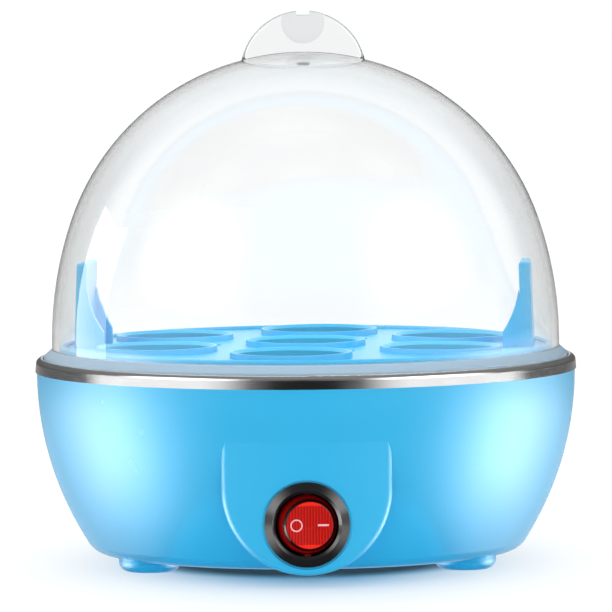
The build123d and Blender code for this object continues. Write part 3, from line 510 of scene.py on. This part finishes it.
red, tree, shader, place = new_finish("red_ribbed_polycarbonate", "#c8140f", {
    "Roughness": 0.35, "IOR": 1.58, "Specular IOR Level": 0.1, "Coat Weight": 0.3,
    "Coat Roughness": 0.12})
ribs = add(tree, "ShaderNodeTexWave", {
    "Vector": place, "Scale": per_mm(rib_spacing) * wave_turn, "Distortion": 1.2, "Detail": 2.0,
    "Detail Scale": 1.0}, wave_type="BANDS", bands_direction="X")
ribbed = add(tree, "ShaderNodeMix", {0: ribs.outputs["Fac"], 6: linear("#980806"),
                                     7: linear("#d01609")}, data_type="RGBA")
ridges = add(tree, "ShaderNodeBump", {"Height": ribs.outputs["Fac"], "Strength": rib_relief,
                                      "Distance": rib_depth})
tree.links.new(ridges.outputs[0], shader.inputs["Normal"])
print("ribs stand", rib_spacing, "mm apart")

# %% Painted highlight at the ends and painted shade on the flanks of the red lens
# The face is painted lighter at its top and bottom ends (a painted highlight), and its flanks
# darker (a painted shade).
painted_highlight_span = (0.0051, 0.0054)  # metres above and below the pivot where the face turns bright
flank_shade_span = (0.0036, 0.0044)  # metres out from the pivot between which the flanks turn dark
face_edge = (0.0064, 0.0062)  # distances from the middle of the face between which it begins

from_pivot = add(tree, "ShaderNodeVectorMath", {0: place, 1: pivot}, operation="SUBTRACT")
axes = add(tree, "ShaderNodeSeparateXYZ", {0: from_pivot.outputs[0]})
upright = add(tree, "ShaderNodeMath", {0: axes.outputs["Z"]}, operation="ABSOLUTE")
# painted highlight where the face ends at top and bottom
ends = add(tree, "ShaderNodeMapRange", {"Value": upright.outputs[0], "From Min": painted_highlight_span[0],
                                        "From Max": painted_highlight_span[1]})
bright = add(tree, "ShaderNodeMix", {0: ends.outputs[0], 6: ribbed.outputs[2],
                                     7: linear("#f2240f")}, data_type="RGBA")
rise = add(tree, "ShaderNodeVectorMath", {0: from_pivot.outputs[0], 1: outwards},
           operation="DOT_PRODUCT")
lifted = add(tree, "ShaderNodeVectorMath", {0: outwards, 3: rise.outputs["Value"]},
             operation="SCALE")
spread = add(tree, "ShaderNodeVectorMath", {0: from_pivot.outputs[0], 1: lifted.outputs[0]},
             operation="SUBTRACT")
reach = add(tree, "ShaderNodeVectorMath", {0: spread.outputs[0]}, operation="LENGTH")
# painted shade on the flanks, nearly black next to the face
flank_shade_mask = add(tree, "ShaderNodeMapRange", {"Value": rise.outputs["Value"],
                                         "From Min": flank_shade_span[0], "From Max": flank_shade_span[1]})
flank = add(tree, "ShaderNodeMix", {0: flank_shade_mask.outputs[0], 6: linear("#8c0b0a"),
                                    7: linear("#140102")}, data_type="RGBA")
face = add(tree, "ShaderNodeMapRange", {"Value": reach.outputs["Value"],
                                        "From Min": face_edge[0], "From Max": face_edge[1]})
lens_with_painted_light = add(tree, "ShaderNodeMix", {0: face.outputs[0], 6: flank.outputs[2],
                                   7: bright.outputs[2]}, data_type="RGBA")
tree.links.new(lens_with_painted_light.outputs[2], shader.inputs["Base Color"])
print("made", red.name)

# %% [markdown]
# ## Inner and small pieces
# Under the pan sit the heater, thermostat, fuse and wires. They hardly show, but each has its own
# plain finish with its own grain, so that the object also holds up when the lid, tray or cover are
# off.

# %% Plain finishes
def grained(name, colour, other, size, dull, sockets):
    """Finish whose colour and gloss vary in grains of a size in millimetres."""
    material, tree, shader, place = new_finish(name, colour, sockets)
    grain = add(tree, "ShaderNodeTexNoise", {"Vector": place, "Scale": per_mm(size),
                                             "Detail": 4.0})
    tint = add(tree, "ShaderNodeMix", {0: grain.outputs[0], 6: linear(colour), 7: linear(other)},
               data_type="RGBA")
    tree.links.new(tint.outputs[2], shader.inputs["Base Color"])
    gloss = add(tree, "ShaderNodeMapRange", {"Value": grain.outputs[0], "To Min": dull[0],
                                             "To Max": dull[1]})
    tree.links.new(gloss.outputs[0], shader.inputs["Roughness"])
    return material


metal = {"Metallic": 1.0}
glass = {"IOR": 1.5, "Transmission Weight": 1.0}
plain_rows = (  # slot, material, two colours, grain, lowest and highest roughness, constants
    # soft and matt, faintly cloudy
    ("silicone", "moulded_grey_silicone", "#d5d7d6", "#c4c7c6", 2.0, (0.5, 0.65), {"IOR": 1.41}),
    # cool sheen with small spangles
    ("zinc_steel", "zinc_plated_steel", "#b9bcc0", "#8f959c", 1.2, (0.25, 0.45), metal),
    # nearly black and dull
    ("gland_rubber", "black_moulded_rubber", "#1b1b1c", "#29292b", 0.7, (0.55, 0.75),
     {"IOR": 1.52}),
    # pale, with blurred reflections
    ("aluminium", "pressed_aluminium", "#c5c7c9", "#adb0b3", 1.5, (0.3, 0.5), metal),
    # browned by heat in broad patches
    ("sheath_steel", "heat_tinted_sheath_steel", "#8c8378", "#6a5f5a", 6.0, (0.3, 0.5), metal),
    # chalky and warm white
    ("ceramic", "unglazed_steatite", "#ece6da", "#ddd5c6", 0.6, (0.55, 0.75), {"IOR": 1.6}),
    # dark brown, half dull
    ("phenolic", "brown_phenolic", "#4a2c20", "#3a2119", 0.8, (0.4, 0.55), {"IOR": 1.6}),
    # silvery, with brass showing through
    ("tinned_brass", "tinned_brass", "#c9bf9f", "#b3a682", 1.0, (0.22, 0.4), metal),
    # clear, with a warm tint
    ("lamp_glass", "drawn_lamp_glass", "#fbe9dc", "#f6dccb", 3.0, (0.02, 0.06), glass),
    # waxy, off-white
    ("nylon", "natural_nylon", "#e6e4dc", "#d9d6cb", 1.5, (0.4, 0.55), {"IOR": 1.53}),
    # cream and fibrous
    ("wire_sleeve", "braided_wire_sleeve", "#e3dfd3", "#cbc5b5", 0.5, (0.6, 0.8), {"IOR": 1.45}),
)
plain = {slot: grained(*row) for slot, *row in plain_rows}
print("plain finishes:", len(plain))

# %% [markdown]
# ## Dressing the CAD pieces
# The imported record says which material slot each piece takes, so one table from slot to finish
# dresses them all.

# %% Dress
finishes = {"blue_plastic": blue, "clear_plastic": clear, "rim_steel": rim_steel,
            "pan_steel": pan_steel, "black_plastic": black, "red_lens": red, **plain}
for piece in frame["nodes"].values():
    worn = piece.data.materials[0].name.split(".")[0]
    piece.data.materials[0] = finishes[worn]
frame["nodes"]["lid"].visible_shadow = False  # clear plastic lets the lamps through
print("dressed", len(frame["nodes"]), "pieces")

# %% [markdown]
# ## Signs on the rocker
# A ring and a bar are pad printed on the rocker in pale ink. Each is modelled flat, a few
# hundredths of a millimetre thick, then pressed into the hollow of the rocker's face and carried
# to the rocker's place and tilt.

# %% Ink
speck_size = 0.4  # millimetres

ink, tree, shader, place = new_finish("pad_printed_ink", "#efb4ba", {"Roughness": 0.45, "IOR": 1.5})
speck = add(tree, "ShaderNodeTexNoise", {"Vector": place, "Scale": per_mm(speck_size),
                                         "Detail": 2.0})
tint = add(tree, "ShaderNodeMix", {0: speck.outputs[0], 6: linear("#ecabb2"),
                                   7: linear("#f3c0c4")}, data_type="RGBA")
tree.links.new(tint.outputs[2], shader.inputs["Base Color"])
print("made", ink.name)

# %% Signs
face_height = 0.0048  # bottom of the face's hollow, out from the pivot
hollow_radius = 0.0528
ink_thickness = 0.00004
ring_radii = (0.00168, 0.00134)
ring_place = (-0.0036, 0, 0)
bar_size = (0.00295, 0.00052, 1)
bar_place = (0.0037, 0, 0)


def print_on_rocker(name, shape):
    """Thickens a flat shape, presses it into the rocker's hollow and lets it ride on the rocker."""
    flat = list(shape.faces)
    raised = bmesh.ops.extrude_face_region(shape, geom=flat)["geom"]
    tops = [v for v in raised if isinstance(v, bmesh.types.BMVert)]
    bmesh.ops.translate(shape, verts=tops, vec=(0, 0, ink_thickness))
    for vert in shape.verts:
        vert.co.z += face_height + (vert.co.x ** 2 + vert.co.y ** 2) / (2 * hollow_radius)
    bmesh.ops.recalc_face_normals(shape, faces=shape.faces)
    bmesh.ops.transform(shape, matrix=on_rocker, verts=shape.verts)
    mesh = bpy.data.meshes.new(name)
    shape.to_mesh(mesh)
    shape.free()
    mesh.materials.append(ink)
    piece = bpy.data.objects.new(name, mesh)
    scene.collection.objects.link(piece)
    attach(piece, "rocker")
    print(name, "has", len(mesh.polygons), "faces")


ring = bmesh.new()
for radius in ring_radii:
    bmesh.ops.create_circle(ring, segments=64, radius=radius)
bmesh.ops.bridge_loops(ring, edges=ring.edges)
bmesh.ops.translate(ring, verts=ring.verts, vec=ring_place)
print_on_rocker("off_sign", ring)

bar = bmesh.new()
bmesh.ops.create_grid(bar, x_segments=12, y_segments=2, size=0.5)
bmesh.ops.scale(bar, verts=bar.verts, vec=bar_size)
bmesh.ops.translate(bar, verts=bar.verts, vec=bar_place)
print_on_rocker("on_sign", bar)
